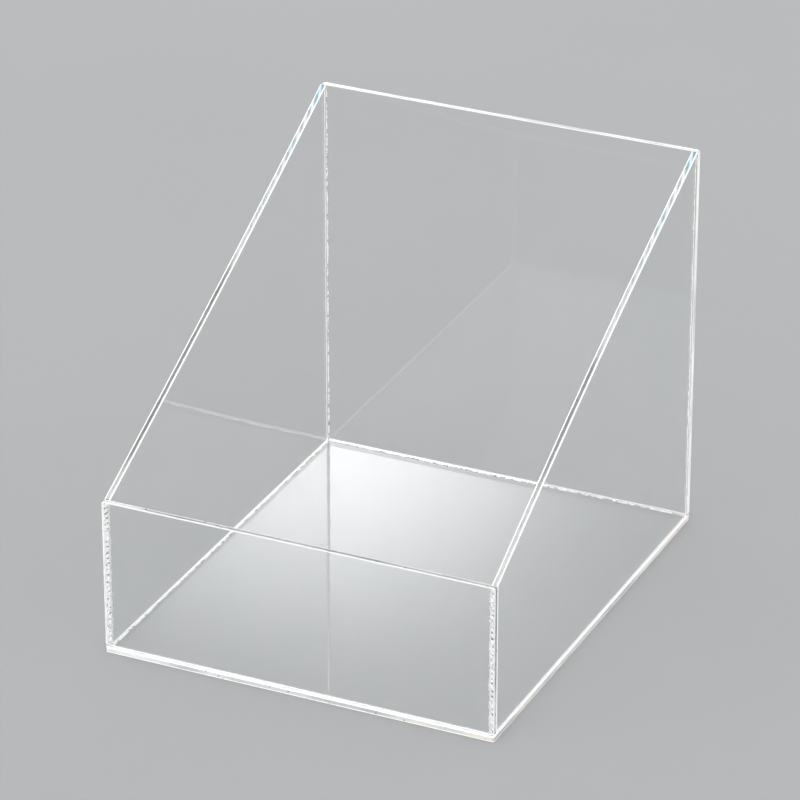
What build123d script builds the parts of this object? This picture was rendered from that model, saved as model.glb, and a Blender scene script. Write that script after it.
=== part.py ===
"""Open-top acrylic display bin with a low front, a tall back and sloping sides.

Five flat sheets stand edge to edge and are joined by eight seams of cured cement.
The frame is in millimetres with +Z up and -Y towards the low front.
The origin is at the middle of the underside.
"""

import os

from build123d import *

# Driving dimensions, mm
width = 200.0  # outside, along X
depth = 240.0  # outside, along Y
back_height = 200.0  # from the underside to the back panel's top
front_height = 80.0  # from the underside to the front lip
sheet = 3.0  # thickness of all five sheets
film = 0.2  # thickness of the cement between an edge and the sheet it meets
bead = 0.7  # leg of the cement bead in each inside corner
bead_sag = 0.12  # how far the bead's face is hollowed between its two legs
bead_stop = 1.0  # how far an upright bead ends below its wall's top edge
arris = 0.25  # chamfer that breaks each exposed cut edge
recess = 0.25  # how far the cement stops short of the outside faces

# Sizes that follow from them
half_width = width / 2
half_depth = depth / 2
inner_x = half_width - sheet  # inside face of a side panel
inner_y = half_depth - sheet  # inside face of the front or back panel
side_y = inner_y - film  # end of a side panel
wall_foot = sheet + film  # height of every wall's lower edge
film_width = sheet - recess  # width of every film, measured across the cut edge
bead_leg = film + bead  # reach of a bead along each of its two sheets
bead_top = sheet + bead_leg  # height at which the upright beads begin

os.makedirs("parts", exist_ok=True)


def chamfer_arrises(edges):
    """Break the sharp corners of a sheet that are left exposed once it is joined."""
    chamfer(edges, length=arris)


# Bottom sheet: the whole footprint. Its lower outline and its four corners are exposed.
with BuildPart() as bottom_panel:
    with BuildSketch(Plane.XY):
        Rectangle(width, depth)
    extrude(amount=sheet)
    underside = bottom_panel.faces().sort_by(Axis.Z).first
    corners = bottom_panel.edges().filter_by(Axis.Z)
    chamfer_arrises(underside.edges() + corners)

bottom_panel.part.label = "bottom_panel"
export_step(bottom_panel.part, "parts/bottom_panel.step")


# Front and back sheets: full width, standing on the bottom sheet and covering the side sheets' ends.
with BuildPart() as front_panel:
    with BuildSketch(Plane.XZ.offset(inner_y)):
        with Locations((0, wall_foot)):
            Rectangle(width, front_height - wall_foot, align=(Align.CENTER, Align.MIN))
    extrude(amount=sheet)
    lip = front_panel.faces().sort_by(Axis.Z).last
    outer_corners = front_panel.edges().filter_by(Axis.Z).group_by(Axis.Y)[0]
    chamfer_arrises(lip.edges() + outer_corners)

front_panel.part.label = "front_panel"
export_step(front_panel.part, "parts/front_panel.step")


with BuildPart() as back_panel:
    with BuildSketch(Plane.XZ.offset(-half_depth)):
        with Locations((0, wall_foot)):
            Rectangle(width, back_height - wall_foot, align=(Align.CENTER, Align.MIN))
    extrude(amount=sheet)
    top_edge = back_panel.faces().sort_by(Axis.Z).last
    outer_corners = back_panel.edges().filter_by(Axis.Z).group_by(Axis.Y)[-1]
    chamfer_arrises(top_edge.edges() + outer_corners)

back_panel.part.label = "back_panel"
export_step(back_panel.part, "parts/back_panel.step")


# Side sheets: right trapezoids between the front and the back, with a straight sloping top edge.
for side, outer_face in (("left", -half_width), ("right", inner_x)):
    with BuildPart() as side_panel:
        with BuildSketch(Plane.YZ.offset(outer_face)):
            with BuildLine():
                Polyline(
                    (-side_y, wall_foot),
                    (side_y, wall_foot),
                    (side_y, back_height),
                    (-side_y, front_height),
                    close=True,
                )
            make_face()
        extrude(amount=sheet)
        slope = side_panel.faces().filter_by(Axis.X, reverse=True).sort_by(Axis.Z).last
        chamfer_arrises(slope.edges().filter_by(Axis.X, reverse=True))

    side_panel.part.label = f"{side}_side_panel"
    export_step(side_panel.part, f"parts/{side}_side_panel.step")


def bead_corners(corner, u_sign, v_sign):
    """The corner of a bead's section, the ends of its two legs and the middle of its hollow face."""
    middle = bead_leg / 2 - bead_sag / 2**0.5
    u_end = (corner[0] + u_sign * bead_leg, corner[1])
    v_end = (corner[0], corner[1] + v_sign * bead_leg)
    hollow = (corner[0] + u_sign * middle, corner[1] + v_sign * middle)
    return corner, u_end, hollow, v_end


# Seams under the front and back sheets: a film on the bottom sheet and a bead between the side beads.
for end, sign in (("front", -1), ("back", 1)):
    with BuildPart() as seam:
        with BuildSketch(Plane.XY.offset(sheet)):
            with Locations((0, sign * (inner_y + film_width / 2))):
                Rectangle(width - 2 * recess, film_width)
        extrude(amount=film)
        with BuildSketch(Plane.YZ):
            corner, u_end, hollow, v_end = bead_corners((sign * inner_y, sheet), -sign, 1)
            with BuildLine():
                Polyline(v_end, corner, u_end)
                ThreePointArc(u_end, hollow, v_end)
            make_face()
        extrude(amount=inner_x - bead_leg, both=True)

    seam.part.label = f"seam_bottom_{end}"
    export_step(seam.part, f"parts/seam_bottom_{end}.step")


# Seams under the side sheets: a film and a bead that both run from the front sheet to the back sheet.
for side, sign in (("left", -1), ("right", 1)):
    with BuildPart() as seam:
        with BuildSketch(Plane.XY.offset(sheet)):
            with Locations((sign * (inner_x + film_width / 2), 0)):
                Rectangle(film_width, 2 * inner_y)
        extrude(amount=film)
        with BuildSketch(Plane.XZ):
            corner, u_end, hollow, v_end = bead_corners((sign * inner_x, sheet), -sign, 1)
            with BuildLine():
                Polyline(v_end, corner, u_end)
                ThreePointArc(u_end, hollow, v_end)
            make_face()
        extrude(amount=inner_y, both=True)

    seam.part.label = f"seam_bottom_{side}"
    export_step(seam.part, f"parts/seam_bottom_{side}.step")


# Upright seams: a film between a side sheet's end and the sheet that covers it, and a bead inside.
for end, y_sign, wall_top in (("front", -1, front_height), ("back", 1, back_height)):
    for side, x_sign in (("left", -1), ("right", 1)):
        with BuildPart() as seam:
            with BuildSketch(Plane.XY.offset(wall_foot)):
                with Locations((x_sign * (inner_x + film_width / 2), y_sign * (inner_y - film / 2))):
                    Rectangle(film_width, film)
            extrude(amount=wall_top - recess - wall_foot)
            with BuildSketch(Plane.XY.offset(bead_top)):
                inside_corner = (x_sign * inner_x, y_sign * inner_y)
                corner, u_end, hollow, v_end = bead_corners(inside_corner, -x_sign, -y_sign)
                with BuildLine():
                    Polyline(v_end, corner, u_end)
                    ThreePointArc(u_end, hollow, v_end)
                make_face()
            extrude(amount=wall_top - bead_stop - bead_top)

        seam.part.label = f"seam_{end}_{side}"
        export_step(seam.part, f"parts/seam_{end}_{side}.step")
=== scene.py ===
"""The looks of a clear acrylic display bin: five polished sheets joined by eight seams of bubbly cement."""

import math
import random

import bmesh
import bpy
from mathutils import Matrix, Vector, noise


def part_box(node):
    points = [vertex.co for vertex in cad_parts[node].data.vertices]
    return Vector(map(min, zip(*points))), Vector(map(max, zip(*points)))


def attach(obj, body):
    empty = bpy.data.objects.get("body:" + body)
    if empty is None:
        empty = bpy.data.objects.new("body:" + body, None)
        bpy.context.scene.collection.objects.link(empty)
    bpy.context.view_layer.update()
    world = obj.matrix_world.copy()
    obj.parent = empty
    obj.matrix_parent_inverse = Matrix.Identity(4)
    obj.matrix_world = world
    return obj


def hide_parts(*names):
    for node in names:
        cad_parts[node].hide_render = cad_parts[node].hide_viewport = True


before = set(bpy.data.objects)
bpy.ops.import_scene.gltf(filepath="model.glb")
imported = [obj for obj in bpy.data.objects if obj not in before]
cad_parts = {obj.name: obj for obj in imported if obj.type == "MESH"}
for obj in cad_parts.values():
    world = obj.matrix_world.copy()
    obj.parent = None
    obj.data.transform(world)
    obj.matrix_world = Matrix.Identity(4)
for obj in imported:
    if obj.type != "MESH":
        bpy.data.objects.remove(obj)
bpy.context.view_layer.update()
MM = 0.001

# Sizes read from the frame, in metres
bottom_low, bottom_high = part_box("bottom_panel")
front_low, front_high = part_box("front_panel")
back_low, back_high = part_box("back_panel")
side_low, side_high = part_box("right_side_panel")
sheet = bottom_high.z
half_width = bottom_high.x
half_depth = bottom_high.y
inner_x = side_low.x
inner_y = back_low.y
side_y = side_high.y
foot = front_low.z
film = foot - sheet
front_top = front_high.z
back_top = back_high.z
recess = bottom_high.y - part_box("seam_bottom_back")[1].y
film_width = sheet - recess
bead_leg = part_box("seam_bottom_left")[1].z - sheet

# The photograph's view, and the floor
SENSOR = 36.0
LENS = 214.7
CAMERA_PLACE = (0.8506, -1.8406, 1.1105)
CAMERA_TARGET = (-0.0027, 0.0, 0.0989)
FLOOR_SIZE = 24
FLOOR_GAP = 0.25 * MM  # keeps the floor clear of the underside

# Details finer than the frame
ARRIS = 0.35 * MM  # rounded break along every cut edge
CORNER = 1.0 * MM  # radius of the outer corners of the bottom, front and back sheets
END_CORNER = 0.35 * MM  # the same on the side sheets, whose ends are cemented
CELL = 6 * MM  # spacing of the grid that lets a sheet bow
LEFT_BOW = 0.9 * MM  # how far the left side sheet bows inwards, halfway along its slope
RIGHT_BOW = 1.3 * MM
LIP_BOW = 0.15 * MM  # how far the front lip and the back's top edge bow inwards
SKIN = 0.05 * MM  # clearance between the cement and the sheets
ACRYLIC_IOR = 1.49
LAMP_SPREAD = 70  # degrees across each distant lamp
FACE_TO_LAMPS = (0.965, 0.965, 0.965, 1)  # what a polished face lets through to and from the lamps
EDGE_TO_LAMPS = (0.91, 0.91, 0.91, 1)  # the same for cut edges and cement
RIM_FROM = 0.95 * MM  # distance off the mid-plane at which a cut edge starts to be painted white, for the piped light that leaves near its rims
RIM_TO = 1.25 * MM  # distance at which it is fully painted white
RING = 0.8 * MM  # spacing of a seam's sections
BEAD_SIZE = 0.44  # the usual reach of a bead, as a share of the room it has
BEAD_HOLLOW = 0.72  # how far a bead's face is scooped out, from flat (0) to a quarter circle (1)
BEAD_STEPS = 4
BEAD_END = 1.2 * MM  # a bead rounds off over this length at each end
BEAD_STOP = 1.0 * MM  # an upright bead ends this far below its wall's top edge
CREEP = 0.30 * MM  # sets how far, and how unevenly, the film's outer edge falls short
BUBBLE_RADIUS = (0.28 * MM, 0.58 * MM)  # along the seam
BUBBLE_WIDTH = (0.8, 1.5)  # across it, as shares of that radius
BUBBLE_STEP = (1.4 * MM, 4.0 * MM)


# ---------------------------------------------------------------- camera, floor and lights


def add_camera():
    """The photograph's view: a long lens from the front right, looking down about 26 degrees."""
    data = bpy.data.cameras.new("camera")
    data.sensor_width = SENSOR
    data.lens = LENS
    data.clip_start = 0.1
    data.clip_end = 60.0
    camera = bpy.data.objects.new("camera", data)
    bpy.context.scene.collection.objects.link(camera)
    camera.location = CAMERA_PLACE
    direction = Vector(CAMERA_TARGET) - Vector(CAMERA_PLACE)
    camera.rotation_euler = direction.to_track_quat("-Z", "Y").to_euler()
    bpy.context.scene.camera = camera


def add(tree, kind, inputs=None, **settings):
    """A new node with its settings, and its inputs given as values or as sockets to link."""
    node = tree.nodes.new(kind)
    for key, value in settings.items():
        setattr(node, key, value)
    for key, value in (inputs or {}).items():
        if isinstance(value, bpy.types.NodeSocket):
            tree.links.new(value, node.inputs[key])
        else:
            node.inputs[key].default_value = value
    return node


def new_material(name):
    material = bpy.data.materials.new(name)
    material.use_nodes = True
    material.node_tree.nodes.clear()
    return material, material.node_tree


def math_node(tree, operation, a, b=0.0):
    return add(tree, "ShaderNodeMath", {0: a, 1: b}, operation=operation).outputs[0]


def noise_node(tree, vector, scale, detail):
    inputs = {"Vector": vector, "Scale": scale, "Detail": detail}
    return add(tree, "ShaderNodeTexNoise", inputs).outputs["Fac"]


def ramp(tree, factor, stops):
    """A colour ramp's colour output. stops is a list of (position, colour)."""
    node = add(tree, "ShaderNodeValToRGB", {"Fac": factor})
    elements = node.color_ramp.elements
    elements[0].position, elements[0].color = stops[0]
    elements[1].position, elements[1].color = stops[-1]
    for position, colour in stops[1:-1]:
        elements.new(position).color = colour
    return node.outputs["Color"]


def add_floor():
    """A plain pale floor, just under the bin, with a faint mottle so that it isn't one flat value."""
    bpy.ops.mesh.primitive_grid_add(x_subdivisions=8, y_subdivisions=8, size=FLOOR_SIZE)
    floor = bpy.context.object
    floor.name = "floor"
    floor.location.z = -FLOOR_GAP
    material, tree = new_material("pale_floor")
    place = add(tree, "ShaderNodeTexCoord").outputs["Object"]
    mottle = noise_node(tree, place, 3.0, 3.0)
    pale = ramp(tree, mottle, [(0.3, (0.377, 0.381, 0.386, 1)), (0.7, (0.387, 0.391, 0.396, 1))])
    surface = add(tree, "ShaderNodeBsdfPrincipled", {"Base Color": pale, "Roughness": 0.9,
                                                     "Specular IOR Level": 0.1})
    add(tree, "ShaderNodeOutputMaterial", {"Surface": surface.outputs[0]})
    floor.data.materials.append(material)


def add_softbox(name, location, target, size, strength, softness):
    """An area light whose face fades towards its rim, as a softbox's diffuser does."""
    data = bpy.data.lights.new(name, "AREA")
    data.shape = "RECTANGLE"
    data.size, data.size_y = size
    data.energy = strength * size[0] * size[1]
    data.use_nodes = True
    tree = data.node_tree
    tree.nodes.clear()
    face = add(tree, "ShaderNodeNewGeometry").outputs["Parametric"]
    middle = add(tree, "ShaderNodeVectorMath", {0: face, 1: (0.5, 0.5, 0.0)}, operation="DISTANCE")
    fade = add(tree, "ShaderNodeMapRange",
               {"Value": middle.outputs["Value"], "From Min": 0.5, "From Max": 0.5 * (1 - softness),
                "To Min": 0.0, "To Max": 1.0}, interpolation_type="SMOOTHERSTEP")
    emission = add(tree, "ShaderNodeEmission", {"Strength": fade.outputs[0]})
    add(tree, "ShaderNodeOutputLight", {"Surface": emission.outputs[0]})
    light = bpy.data.objects.new(name, data)
    bpy.context.scene.collection.objects.link(light)
    light.location = location
    direction = Vector(target) - Vector(location)
    light.rotation_euler = direction.to_track_quat("-Z", "Y").to_euler()


def add_lamp(name, way, strength):
    """A wide, even lamp a long way off, with soft shadows. way points to it, strength is in W/m2."""
    data = bpy.data.lights.new(name, "SUN")
    data.energy = strength
    data.angle = math.radians(LAMP_SPREAD)
    light = bpy.data.objects.new(name, data)
    bpy.context.scene.collection.objects.link(light)
    light.rotation_euler = (-Vector(way)).to_track_quat("-Z", "Y").to_euler()


def add_world():
    """A plain studio round the bin: as pale as the floor at the horizon, and brighter overhead."""
    horizon = (0.46, 0.46, 0.465, 1)
    world = bpy.data.worlds.new("studio")
    bpy.context.scene.world = world
    world.use_nodes = True
    tree = world.node_tree
    tree.nodes.clear()
    direction = add(tree, "ShaderNodeTexCoord").outputs["Generated"]
    height = add(tree, "ShaderNodeSeparateXYZ", {"Vector": direction}).outputs["Z"]
    sky = ramp(tree, height, [(0.0, horizon), (0.10, horizon),
                              (0.35, (0.60, 0.605, 0.61, 1)), (1.0, (0.66, 0.665, 0.67, 1))])
    background = add(tree, "ShaderNodeBackground", {"Color": sky, "Strength": 1.0})
    add(tree, "ShaderNodeOutputWorld", {"Surface": background.outputs[0]})


def set_studio():
    """One softbox for the soft highlight on the bottom sheet, four wide lamps, and the sky."""
    scene = bpy.context.scene
    add_world()
    add_softbox("softbox_glow", (-0.70, 1.33, 0.66), (-0.1, 0.12, 0.0), (0.66, 0.56), 10.0, 1.0)
    add_lamp("lamp_front", (-0.35, -0.85, 0.42), 1.9)
    add_lamp("lamp_right", (0.92, -0.05, 0.38), 1.2)
    add_lamp("lamp_left", (-0.88, 0.15, 0.42), 1.0)
    add_lamp("lamp_back", (0.30, 0.87, 0.40), 0.5)
    scene.view_settings.view_transform = "Standard"
    scene.cycles.max_bounces = 24
    scene.cycles.transmission_bounces = 24
    scene.cycles.transparent_max_bounces = 32
    scene.cycles.glossy_bounces = 12
    scene.cycles.caustics_reflective = False
    scene.cycles.caustics_refractive = False
    scene.cycles.sample_clamp_indirect = 4.0


# ---------------------------------------------------------------- materials


def through_lamps(tree, surface, tint):
    """The surface, but clear to lamps and to light scattered off other things.

    It casts a pale shadow, and tint is what it lets through."""
    path = add(tree, "ShaderNodeLightPath")
    clear = add(tree, "ShaderNodeBsdfTransparent", {"Color": tint})
    for ray in ("Is Diffuse Ray", "Is Shadow Ray"):
        surface = add(tree, "ShaderNodeMixShader",
                      {"Fac": path.outputs[ray], 1: surface, 2: clear.outputs[0]}).outputs[0]
    return surface


def hairlines(tree, place, spread, angle, scale, width):
    """A mask of a few fine scratches that mostly run one way."""
    turned = add(tree, "ShaderNodeMapping", {"Vector": place, "Rotation": (angle, angle / 2, angle),
                                             "Scale": (scale, scale * spread, scale)})
    cells = add(tree, "ShaderNodeTexVoronoi", {"Vector": turned.outputs[0], "Scale": 1.0},
                feature="DISTANCE_TO_EDGE")
    line = math_node(tree, "LESS_THAN", cells.outputs["Distance"], width)
    kept = math_node(tree, "GREATER_THAN", noise_node(tree, place, scale * 0.6, 2.0), 0.62)
    return math_node(tree, "MULTIPLY", line, kept)


def specks(tree, place, scale, radius, share):
    """A mask of scattered round specks: share is how many of the cells hold one."""
    cells = add(tree, "ShaderNodeTexVoronoi", {"Vector": place, "Scale": scale}, feature="F1")
    near = math_node(tree, "LESS_THAN", cells.outputs["Distance"], radius * scale)
    pick = add(tree, "ShaderNodeSeparateColor", {"Color": cells.outputs["Color"]}).outputs[0]
    kept = math_node(tree, "LESS_THAN", pick, share)
    return math_node(tree, "MULTIPLY", near, kept)


def polished_sheet():
    """The flat faces of cast acrylic: clear, glossy, with hairline scratches and a little dust."""
    material, tree = new_material("acrylic_polished_face")
    place = add(tree, "ShaderNodeTexCoord").outputs["Object"]
    scratches = math_node(tree, "ADD", hairlines(tree, place, 0.10, 0.5, 30.0, 0.0022),
                          hairlines(tree, place, 0.12, 1.9, 44.0, 0.0025))
    dust = specks(tree, place, 210.0, 0.20 * MM, 0.10)
    smears = noise_node(tree, place, 18.0, 4.0)
    haze = add(tree, "ShaderNodeMapRange", {"Value": smears, "From Min": 0.45, "From Max": 0.75,
                                            "To Min": 0.004, "To Max": 0.03})
    rough = math_node(tree, "MAXIMUM", haze.outputs[0], math_node(tree, "MULTIPLY", scratches, 0.12))
    tint = ramp(tree, smears, [(0.3, (0.975, 0.985, 0.990, 1)), (0.7, (0.985, 0.990, 0.990, 1))])
    ripple = noise_node(tree, place, 9.0, 1.0)
    height = math_node(tree, "ADD", ripple, math_node(tree, "MULTIPLY", scratches, -0.02))
    bump = add(tree, "ShaderNodeBump", {"Height": height, "Strength": 0.08, "Distance": 0.4 * MM})
    glass = add(tree, "ShaderNodeBsdfPrincipled",
                {"Base Color": tint, "Roughness": rough, "IOR": ACRYLIC_IOR, "Transmission Weight": 1.0,
                 "Normal": bump.outputs[0]})
    grey = add(tree, "ShaderNodeBsdfDiffuse", {"Color": (0.9, 0.9, 0.88, 1)})
    dusty = add(tree, "ShaderNodeMixShader", {"Fac": math_node(tree, "MULTIPLY", dust, 0.65),
                                              1: glass.outputs[0], 2: grey.outputs[0]})
    surface = through_lamps(tree, dusty.outputs[0], FACE_TO_LAMPS)
    add(tree, "ShaderNodeOutputMaterial", {"Surface": surface})
    return material


def between(tree, value, low, high, to_low, to_high):
    """The value mapped smoothly from one range to another and held at its ends."""
    return add(tree, "ShaderNodeMapRange", {"Value": value, "From Min": low, "From Max": high,
                                            "To Min": to_low, "To Max": to_high},
               interpolation_type="SMOOTHSTEP").outputs[0]


def glass_and_white(tree, share, clear_tint, white, rough, normal, glow=0.0):
    """Clear plastic mixed with plastic that scatters light, and so looks white.

    glow is a painted glow: light emitted to stand in for the light that the sheet has piped there, on top
    of what falls on it."""
    clear = add(tree, "ShaderNodeBsdfPrincipled",
                {"Base Color": clear_tint, "Roughness": rough, "IOR": ACRYLIC_IOR,
                 "Transmission Weight": 1.0, "Normal": normal})
    # The scatter part emits the painted glow, light that stands in for what the sheet pipes out here.
    scatter = add(tree, "ShaderNodeBsdfPrincipled",
                  {"Base Color": white, "Roughness": 0.3, "IOR": ACRYLIC_IOR,
                   "Emission Color": (1.0, 0.99, 0.97, 1), "Emission Strength": glow, "Normal": normal})
    return add(tree, "ShaderNodeMixShader", {"Fac": share, 1: clear.outputs[0],
                                             2: scatter.outputs[0]}).outputs[0]


def cut_edge(name, middle, border, dull=0.03, pits=0.02, pit_size=0.30 * MM, rough=0.1, glow=0.0,
             hues=1.0, drift=("Z", 0.0, 1.0, 0.0)):
    """A sawn and polished edge. Light piped along the sheet leaves here, mostly close to the two rims.

    middle and border are the shares of painted white there, and dull is how much darker the middle is
    painted, for the less light it gives.
    pits is the share of the cells along it that hold a dark pit, and glow is a painted glow, emitted to
    stand in for the light it pipes out.
    hues is how widely the tint ranges round white, which is at 0.5.
    drift warms the tint (or cools it, if negative) along an axis, from one place to another."""
    material, tree = new_material(name)
    place = add(tree, "ShaderNodeTexCoord").outputs["Object"]
    way, start, end, amount = drift
    position = add(tree, "ShaderNodeSeparateXYZ", {"Vector": place}).outputs[way]
    shift = between(tree, position, start, end, 0.0, amount)
    along = add(tree, "ShaderNodeUVMap").outputs["UV"]
    across = add(tree, "ShaderNodeSeparateXYZ", {"Vector": along}).outputs["Y"]
    wobble = noise_node(tree, along, 260.0, 3.0)
    slow = noise_node(tree, along, 14.0, 2.0)
    marks = add(tree, "ShaderNodeTexWave",
                {"Vector": along, "Scale": 420.0, "Distortion": 5.0, "Detail": 3.0, "Detail Scale": 1.5,
                 "Detail Roughness": 0.7}, wave_type="BANDS", bands_direction="X").outputs["Fac"]
    off_middle = math_node(tree, "ABSOLUTE", across)
    moved = math_node(tree, "MULTIPLY_ADD", wobble, 0.6 * MM)
    tree.links.new(off_middle, moved.node.inputs[2])
    rims = between(tree, moved, RIM_FROM, RIM_TO, 0.0, 1.0)
    patches = between(tree, slow, 0.40, 0.60, 0.7, 1.25)
    inner = math_node(tree, "MULTIPLY", patches, between(tree, marks, 0.0, 1.0, middle * 0.8, middle))
    share = add(tree, "ShaderNodeMix", {"Factor": rims, "A": inner, "B": border}).outputs[0]
    dots = specks(tree, along, 420.0, pit_size, pits)
    light = math_node(tree, "SUBTRACT", 1.0, math_node(tree, "MULTIPLY", dots, 0.85))
    shade = math_node(tree, "MULTIPLY", light, between(tree, rims, 0.0, 1.0, 1.0 - dull, 1.0))
    ranged = math_node(tree, "MULTIPLY", math_node(tree, "SUBTRACT", slow, 0.5), hues)
    hue = math_node(tree, "ADD", math_node(tree, "ADD", ranged, 0.5), shift)
    tint = ramp(tree, hue, [(0.30, (0.45, 0.62, 1.0, 1)), (0.38, (0.66, 0.92, 1.0, 1)),
                             (0.46, (1.0, 1.0, 1.0, 1)), (0.57, (1.0, 1.0, 0.99, 1)),
                             (0.64, (1.0, 0.95, 0.84, 1)), (0.72, (1.0, 0.88, 0.90, 1))])
    white = add(tree, "ShaderNodeVectorMath", {0: tint, "Scale": shade}, operation="SCALE").outputs[0]
    height = math_node(tree, "ADD", marks, wobble)
    bump = add(tree, "ShaderNodeBump", {"Height": height, "Strength": 0.25, "Distance": 0.05 * MM})
    mixed = glass_and_white(tree, share, tint, white, rough, bump.outputs[0], glow)
    surface = through_lamps(tree, mixed, EDGE_TO_LAMPS)
    add(tree, "ShaderNodeOutputMaterial", {"Surface": surface})
    return material


def cement(name, film_white, glow):
    """Cured cement: whitish, with clearer rungs slanting across the joint where it crept in unevenly.

    film_white scales how white the film is. The bead stays white, with clear gaps in it. glow is a painted
    glow: emitted light that stands in for the light that the sheets have piped into it."""
    material, tree = new_material(name)
    along = add(tree, "ShaderNodeUVMap").outputs["UV"]
    place = add(tree, "ShaderNodeTexCoord").outputs["Object"]
    froth = noise_node(tree, place, 900.0, 3.0)
    patches = noise_node(tree, place, 60.0, 2.0)
    rungs = add(tree, "ShaderNodeTexWave",
                {"Vector": along, "Scale": 210.0, "Distortion": 2.5, "Detail": 2.0, "Detail Scale": 1.2},
                wave_type="BANDS", bands_direction="DIAGONAL").outputs["Fac"]
    across = add(tree, "ShaderNodeSeparateXYZ", {"Vector": along}).outputs["Y"]
    off_middle = math_node(tree, "ABSOLUTE", math_node(tree, "SUBTRACT", across, sheet / 2))
    rims = between(tree, off_middle, 1.0 * MM, 1.25 * MM, 0.0, 1.0)
    weight = between(tree, patches, 0.35, 0.6, 0.35, 0.95)
    gaps = math_node(tree, "MULTIPLY", weight, between(tree, rungs, 0.15, 0.55, 0.95, 0.0))
    inner = math_node(tree, "SUBTRACT", 0.97, gaps)
    frothed = math_node(tree, "MULTIPLY", inner, between(tree, froth, 0.3, 0.6, 0.75, 1.0))
    blots = noise_node(tree, place, 420.0, 2.0)
    bead = between(tree, across, 0.0, 0.2 * MM, 1.0, 0.0)
    solid = between(tree, blots, 0.42, 0.50, 0.12, 0.97)
    thinned = math_node(tree, "MULTIPLY", frothed, film_white)
    rim_share = 0.35 + 0.57 * film_white
    film_share = add(tree, "ShaderNodeMix", {"Factor": rims, "A": thinned, "B": rim_share}).outputs[0]
    share = add(tree, "ShaderNodeMix", {"Factor": bead, "A": film_share, "B": solid}).outputs[0]
    bump = add(tree, "ShaderNodeBump", {"Height": froth, "Strength": 0.5, "Distance": 0.05 * MM})
    tint = ramp(tree, patches, [(0.30, (0.97, 0.99, 1.0, 1)), (0.42, (1.0, 1.0, 1.0, 1)),
                                (0.60, (1.0, 1.0, 0.98, 1)), (0.70, (1.0, 0.96, 0.86, 1))])
    mixed = glass_and_white(tree, share, tint, tint, 0.05, bump.outputs[0], glow)
    surface = through_lamps(tree, mixed, EDGE_TO_LAMPS)
    add(tree, "ShaderNodeOutputMaterial", {"Surface": surface})
    return material


def trapped_air():
    """The wall of an air bubble in the film: smooth, and an uneven dark grey."""
    material, tree = new_material("cement_bubble")
    place = add(tree, "ShaderNodeTexCoord").outputs["Object"]
    uneven = noise_node(tree, place, 700.0, 2.0)
    grey = ramp(tree, uneven, [(0.35, (0.02, 0.02, 0.03, 1)), (0.65, (0.12, 0.13, 0.14, 1))])
    wall = add(tree, "ShaderNodeBsdfPrincipled",
               {"Base Color": grey, "Roughness": 0.15, "IOR": ACRYLIC_IOR})
    surface = through_lamps(tree, wall.outputs[0], EDGE_TO_LAMPS)
    add(tree, "ShaderNodeOutputMaterial", {"Surface": surface})
    return material


# ---------------------------------------------------------------- sheets


FACE, EDGE, RIM, BONDED, BRIGHT = range(5)  # material slots of a sheet


def point_on(axis, depth, u, v):
    """The point with this depth along the sheet's axis, and u and v along the other two, in order."""
    values = [u, v]
    values.insert(axis, depth)
    return Vector(values)


def cut_into_cells(bm, axis, outline):
    """Loop cuts across the sheet, about a cell apart, so that it can bow."""
    for way in (0, 1):
        low = min(p[way] for p in outline)
        high = max(p[way] for p in outline)
        count = max(1, round((high - low) / CELL))
        direction = point_on(axis, 0.0, 1.0 - way, float(way))
        for step in range(1, count):
            at = low + (high - low) * step / count
            bmesh.ops.bisect_plane(bm, geom=bm.verts[:] + bm.edges[:] + bm.faces[:], dist=1e-7,
                                   plane_co=direction * at, plane_no=direction)


def faces_way(face, ways):
    return any(face.normal.dot(Vector(way)) > 0.999 for way in ways)


def sheet_kind(face, axis, bonded, bright):
    """Which material slot a face takes: flat face, rounded rim, or one of the three kinds of cut edge."""
    square = abs(face.normal[axis])
    if square > 0.999:
        return FACE
    if square > 0.02:
        return RIM
    if faces_way(face, bonded):
        return BONDED
    return BRIGHT if faces_way(face, bright) else EDGE


def outer_corners(bm, axis):
    """The edges that run through the sheet's thickness."""
    return [edge for edge in bm.edges
            if abs((edge.verts[1].co - edge.verts[0].co).normalized()[axis]) > 0.999]


def round_off(bm, edges, radius, segments):
    bmesh.ops.bevel(bm, geom=edges, offset=radius, segments=segments, profile=0.5, affect="EDGES")
    bm.normal_update()


def lay_uv(bm, kinds, axis, middle):
    """UVs in metres: flat on the faces, and along and across each cut edge."""
    uv = bm.loops.layers.uv.new("along")
    axis_way = Vector([float(i == axis) for i in range(3)])
    flat_ways = [Vector([float(i == other) for i in range(3)]) for other in range(3) if other != axis]
    for face in bm.faces:
        if face[kinds] == FACE:
            ways = flat_ways
            shift = 0.0
        else:
            level = (face.normal - axis_way * face.normal[axis]).normalized()
            ways = (axis_way.cross(level), axis_way)
            shift = middle
        for loop in face.loops:
            loop[uv].uv = (loop.vert.co.dot(ways[0]), loop.vert.co.dot(ways[1]) - shift)


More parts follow.
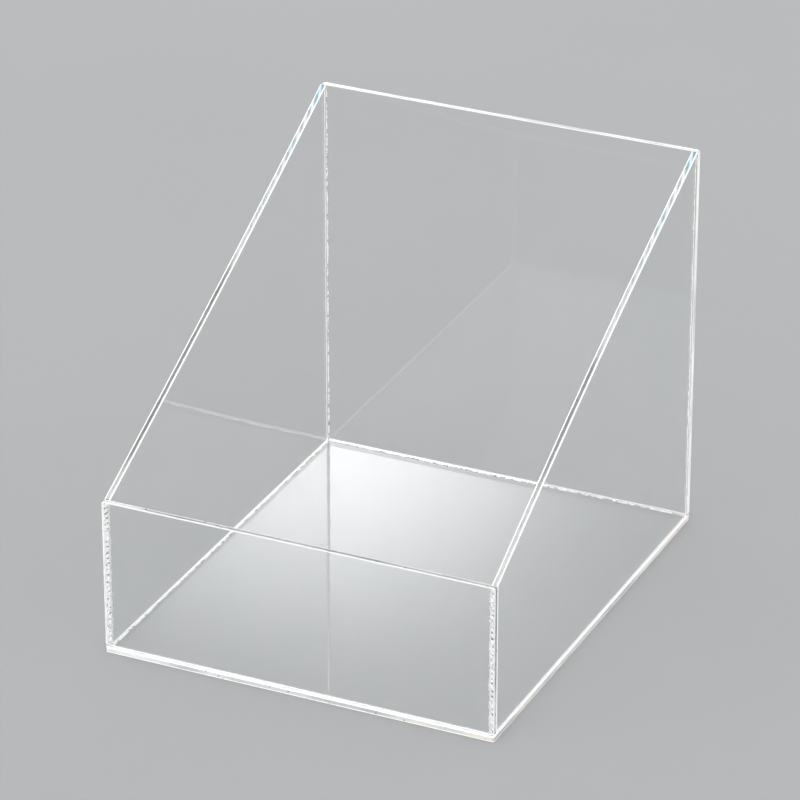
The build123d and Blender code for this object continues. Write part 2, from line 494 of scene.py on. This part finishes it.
def make_sheet(name, axis, near, far, outline, corner, materials, bonded=(), bright=(), bow=None):
    """A polished sheet between two depths along an axis, with rounded rims and a slight bow.

    bonded lists the directions of the cut edges that stand in cement, and bright of those that pipe
    out the most light. bow gives a point's shift."""
    bm = bmesh.new()
    rings = [[bm.verts.new(point_on(axis, depth, u, v)) for u, v in outline] for depth in (near, far)]
    for ring in rings:
        bm.faces.new(ring)
    for i in range(len(outline)):
        j = (i + 1) % len(outline)
        bm.faces.new((rings[0][i], rings[0][j], rings[1][j], rings[1][i]))
    bmesh.ops.recalc_face_normals(bm, faces=bm.faces)
    round_off(bm, outer_corners(bm, axis), corner, 4)
    around = [edge for edge in bm.edges if any(abs(face.normal[axis]) > 0.999 for face in edge.link_faces)]
    round_off(bm, around, ARRIS, 3)
    kinds = bm.faces.layers.int.new("kind")
    for face in bm.faces:
        face[kinds] = sheet_kind(face, axis, bonded, bright)
    cut_into_cells(bm, axis, outline)
    lay_uv(bm, kinds, axis, (near + far) / 2)
    for face in bm.faces:
        face.material_index = face[kinds]
        face.smooth = True
    for edge in bm.edges:
        edge.smooth = len({face[kinds] for face in edge.link_faces}) == 1
    if bow:
        for vert in bm.verts:
            vert.co += bow(vert.co)
    return finish_piece(bm, name, materials)


def finish_piece(bm, name, materials):
    """Turn the mesh into a named piece that rides with the bin."""
    mesh = bpy.data.meshes.new(name)
    bm.to_mesh(mesh)
    bm.free()
    for material in materials:
        mesh.materials.append(material)
    piece = bpy.data.objects.new(name, mesh)
    bpy.context.scene.collection.objects.link(piece)
    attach(piece, "root")
    return piece


def slope_height(y):
    """Height of a side sheet's sloping edge at this depth."""
    share = (y + side_y) / (2 * side_y)
    return front_top + (back_top - front_top) * share


def side_bow(sign, most):
    """The warp of a side sheet: none where it is cemented, most at the middle of its free edge."""
    def shift(co):
        along = min(max((co.y + side_y) / (2 * side_y), 0.0), 1.0)
        up = min(max((co.z - foot) / (slope_height(co.y) - foot), 0.0), 1.0)
        return Vector((-sign * most * math.sin(math.pi * along) * up**1.6, 0, 0))
    return shift


def free_edge_bow(sign, top):
    """The slight inward bow of the front's or the back's free top edge."""
    def shift(co):
        across = math.cos(math.pi / 2 * min(abs(co.x) / inner_x, 1.0))
        up = min(max((co.z - foot) / (top - foot), 0.0), 1.0)
        return Vector((0, -sign * LIP_BOW * across * up**2, 0))
    return shift


def make_sheets(materials, front_materials, back_materials, bottom_materials):
    right, left = (1, 0, 0), (-1, 0, 0)
    front, back = (0, -1, 0), (0, 1, 0)
    down = (0, 0, -1)
    rectangle = [(-half_width, -half_depth), (half_width, -half_depth),
                 (half_width, half_depth), (-half_width, half_depth)]
    bottom = make_sheet("acrylic_bottom", 2, 0.0, sheet, rectangle, CORNER, bottom_materials,
                        bright=[left, right, front, back])
    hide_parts("bottom_panel")
    for name, sign, top, used, bright in (("front", -1, front_top, front_materials, [left]),
                                          ("back", 1, back_top, back_materials, [left, right])):
        upright = [(-half_width, foot), (half_width, foot), (half_width, top), (-half_width, top)]
        piece = make_sheet(f"acrylic_{name}", 1, sign * inner_y, sign * half_depth, upright, CORNER,
                           used, bonded=[down], bright=bright, bow=free_edge_bow(sign, top))
        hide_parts(f"{name}_panel")
    trapezoid = [(-side_y, foot), (side_y, foot), (side_y, back_top), (-side_y, front_top)]
    for name, sign, most in (("left", -1, LEFT_BOW), ("right", 1, RIGHT_BOW)):
        piece = make_sheet(f"acrylic_{name}_side", 0, sign * inner_x, sign * half_width, trapezoid,
                           END_CORNER, materials, bonded=[down, front, back], bow=side_bow(sign, most))
        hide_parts(f"{name}_side_panel")


# ---------------------------------------------------------------- seams


def wander(position, seed, scale):
    """A smooth number from about -1 to 1 that changes along a seam."""
    return noise.noise(Vector((position / scale, seed * 7.31, 0.37)))


def section(s, seed, bead_from, bead_to):
    """A seam's outline at s along it, as (outwards, lift) pairs: the film, then the bead's hollow face."""
    outer = film_width - max(0.0, CREEP * (0.4 + wander(s, seed, 3 * MM)))
    end = min(s - bead_from, bead_to - s)
    swell = math.sqrt(min(max(end / BEAD_END, 0.0), 1.0))
    size = BEAD_SIZE + 0.22 * wander(s, seed + 1, 9 * MM) + 0.45 * wander(s, seed + 2, 2 * MM)
    taller = size + 0.15 * wander(s, seed + 3, 4 * MM)
    reach = max(bead_leg * min(size, 1.0) * swell, 2 * SKIN)
    rise = max(bead_leg * min(taller, 1.0) * swell, film)
    points = [(outer, SKIN), (outer - SKIN / 2, film / 2), (outer, film - SKIN), (SKIN, film - SKIN)]
    for step in range(BEAD_STEPS + 1):
        part = step / BEAD_STEPS
        turn = math.pi / 2 * part
        across = (1 - math.sin(turn)) * BEAD_HOLLOW + (1 - part) * (1 - BEAD_HOLLOW)
        down = (1 - math.cos(turn)) * BEAD_HOLLOW + part * (1 - BEAD_HOLLOW)
        points.append((-SKIN / 5 - (reach - SKIN / 5) * down, SKIN / 5 + (rise - SKIN / 5) * across))
    return points


def add_bubble(bm, centre, ways, radii):
    """A flattened blister of air trapped in the film."""
    made = bmesh.ops.create_icosphere(bm, subdivisions=2, radius=1.0)["verts"]
    for vert in made:
        vert.co = centre + sum((way * radius * part for way, radius, part in zip(ways, radii, vert.co)),
                               Vector())
    for face in {face for vert in made for face in vert.link_faces}:
        face.material_index = 1


def make_seam(name, materials, corner, along, outwards, lift, length, bead_from, bead_to, seed):
    """One seam: the film between two sheets, its bead in the inside corner, and trapped bubbles."""
    ways = along, outwards, lift = Vector(along), Vector(outwards), Vector(lift)
    bm = bmesh.new()
    count = round(length / RING)
    rings = []
    for i in range(count + 1):
        s = length * i / count
        rings.append([bm.verts.new(corner + along * s + outwards * out + lift * up)
                      for out, up in section(s, seed, bead_from, bead_to)])
    size = len(rings[0])
    for low, high in zip(rings, rings[1:]):
        for k in range(size):
            bm.faces.new((low[k], low[(k + 1) % size], high[(k + 1) % size], high[k]))
    bm.faces.new(rings[0])
    bm.faces.new(rings[-1])
    random.seed(seed)
    s = 1.0 * MM
    while s < length - 1.0 * MM:
        crowd = 0.5 + 0.5 * wander(s, seed + 5, 30 * MM)
        flat = random.uniform(*BUBBLE_RADIUS)
        wide = random.uniform(*BUBBLE_WIDTH) * flat
        out = random.uniform(0.7 * MM, film_width - 1.0 * MM)
        centre = corner + along * s + outwards * out + lift * (film / 2)
        add_bubble(bm, centre, ways, (flat, wide, 0.4 * film))
        s += random.uniform(*BUBBLE_STEP) * (1.6 - crowd)
    bmesh.ops.recalc_face_normals(bm, faces=bm.faces)
    uv = bm.loops.layers.uv.new("along")
    for face in bm.faces:
        face.smooth = True
        for loop in face.loops:
            place = loop.vert.co - corner
            loop[uv].uv = (place.dot(along), place.dot(outwards))
    return finish_piece(bm, name, materials)


def make_seams(frothy, wetted):
    up = (0, 0, 1)
    seed = 11
    for name, sign, used in (("front", -1, frothy), ("back", 1, wetted)):
        start = recess - half_width
        corner = Vector((start, sign * inner_y, sheet))
        inset = half_width - recess - inner_x + bead_leg
        length = 2 * (half_width - recess)
        piece = make_seam(f"cement_bottom_{name}", used, corner, (1, 0, 0), (0, sign, 0), up, length,
                          inset, length - inset, seed)
        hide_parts(f"seam_bottom_{name}")
        seed += 10
    overrun = 2 * BEAD_END  # the side beads meet the front and back beads at full size
    for name, sign in (("left", -1), ("right", 1)):
        corner = Vector((sign * inner_x, SKIN - inner_y, sheet))
        length = 2 * (inner_y - SKIN)
        piece = make_seam(f"cement_bottom_{name}", wetted, corner, (0, 1, 0), (sign, 0, 0), up, length,
                          -overrun, length + overrun, seed)
        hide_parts(f"seam_bottom_{name}")
        seed += 10
    for end, y_sign, top, used in (("front", -1, front_top, frothy), ("back", 1, back_top, wetted)):
        for side, x_sign in (("left", -1), ("right", 1)):
            corner = Vector((x_sign * inner_x, y_sign * inner_y, foot + SKIN))
            length = top - recess - foot - SKIN
            bead_from = sheet + bead_leg - foot
            piece = make_seam(f"cement_{end}_{side}", used, corner, up, (x_sign, 0, 0), (0, -y_sign, 0),
                              length, bead_from, top - BEAD_STOP - foot, seed)
            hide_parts(f"seam_{end}_{side}")
            seed += 10


add_camera()
add_floor()
set_studio()
face = polished_sheet()
# The glow values below are painted glow: emitted light standing in for light piped along the sheets.
rim = cut_edge("acrylic_rim", middle=0.95, border=1.0, pits=0.0, rough=0.2, glow=0.12, hues=0.5)
soft_rim = cut_edge("acrylic_soft_rim", middle=0.7, border=0.75, pits=0.0, rough=0.2, hues=0.4)
slope = cut_edge("acrylic_slope_edge", middle=0.36, border=1.0, dull=0.25, pits=0.08, hues=0.6,
                 drift=("Z", 0.160, 0.195, -0.16))
lip = cut_edge("acrylic_lip_edge", middle=0.50, border=0.85, dull=0.2, pits=0.4, pit_size=0.5 * MM)
wet = cut_edge("acrylic_bonded_edge", middle=0.10, border=0.80, dull=0.1, pits=0.1, glow=0.1, hues=0.4)
bright_edge = cut_edge("acrylic_bright_edge", middle=0.92, border=1.0, glow=0.2, hues=0.7)
front_end = cut_edge("acrylic_front_end", middle=0.80, border=1.0, glow=0.35, hues=0.3)
top_edge = cut_edge("acrylic_top_edge", middle=0.88, border=0.35, pits=0.0, glow=0.12, hues=0.5)
bottom_edge = cut_edge("acrylic_bottom_edge", middle=0.88, border=1.0, dull=0.17, pits=0.35, glow=0.06,
                       pit_size=0.38 * MM, drift=("X", -0.02, 0.09, 0.08))
frothy = cement("cement_frothy", film_white=1.0, glow=0.08)
wetted = cement("cement_wetted", film_white=0.12, glow=0.02)
air = trapped_air()
make_sheets([face, slope, rim, wet, bright_edge], [face, lip, soft_rim, wet, front_end],
            [face, top_edge, soft_rim, wet, bright_edge],
            [face, bottom_edge, rim, wet, bottom_edge])
make_seams([frothy, air], [wetted, air])
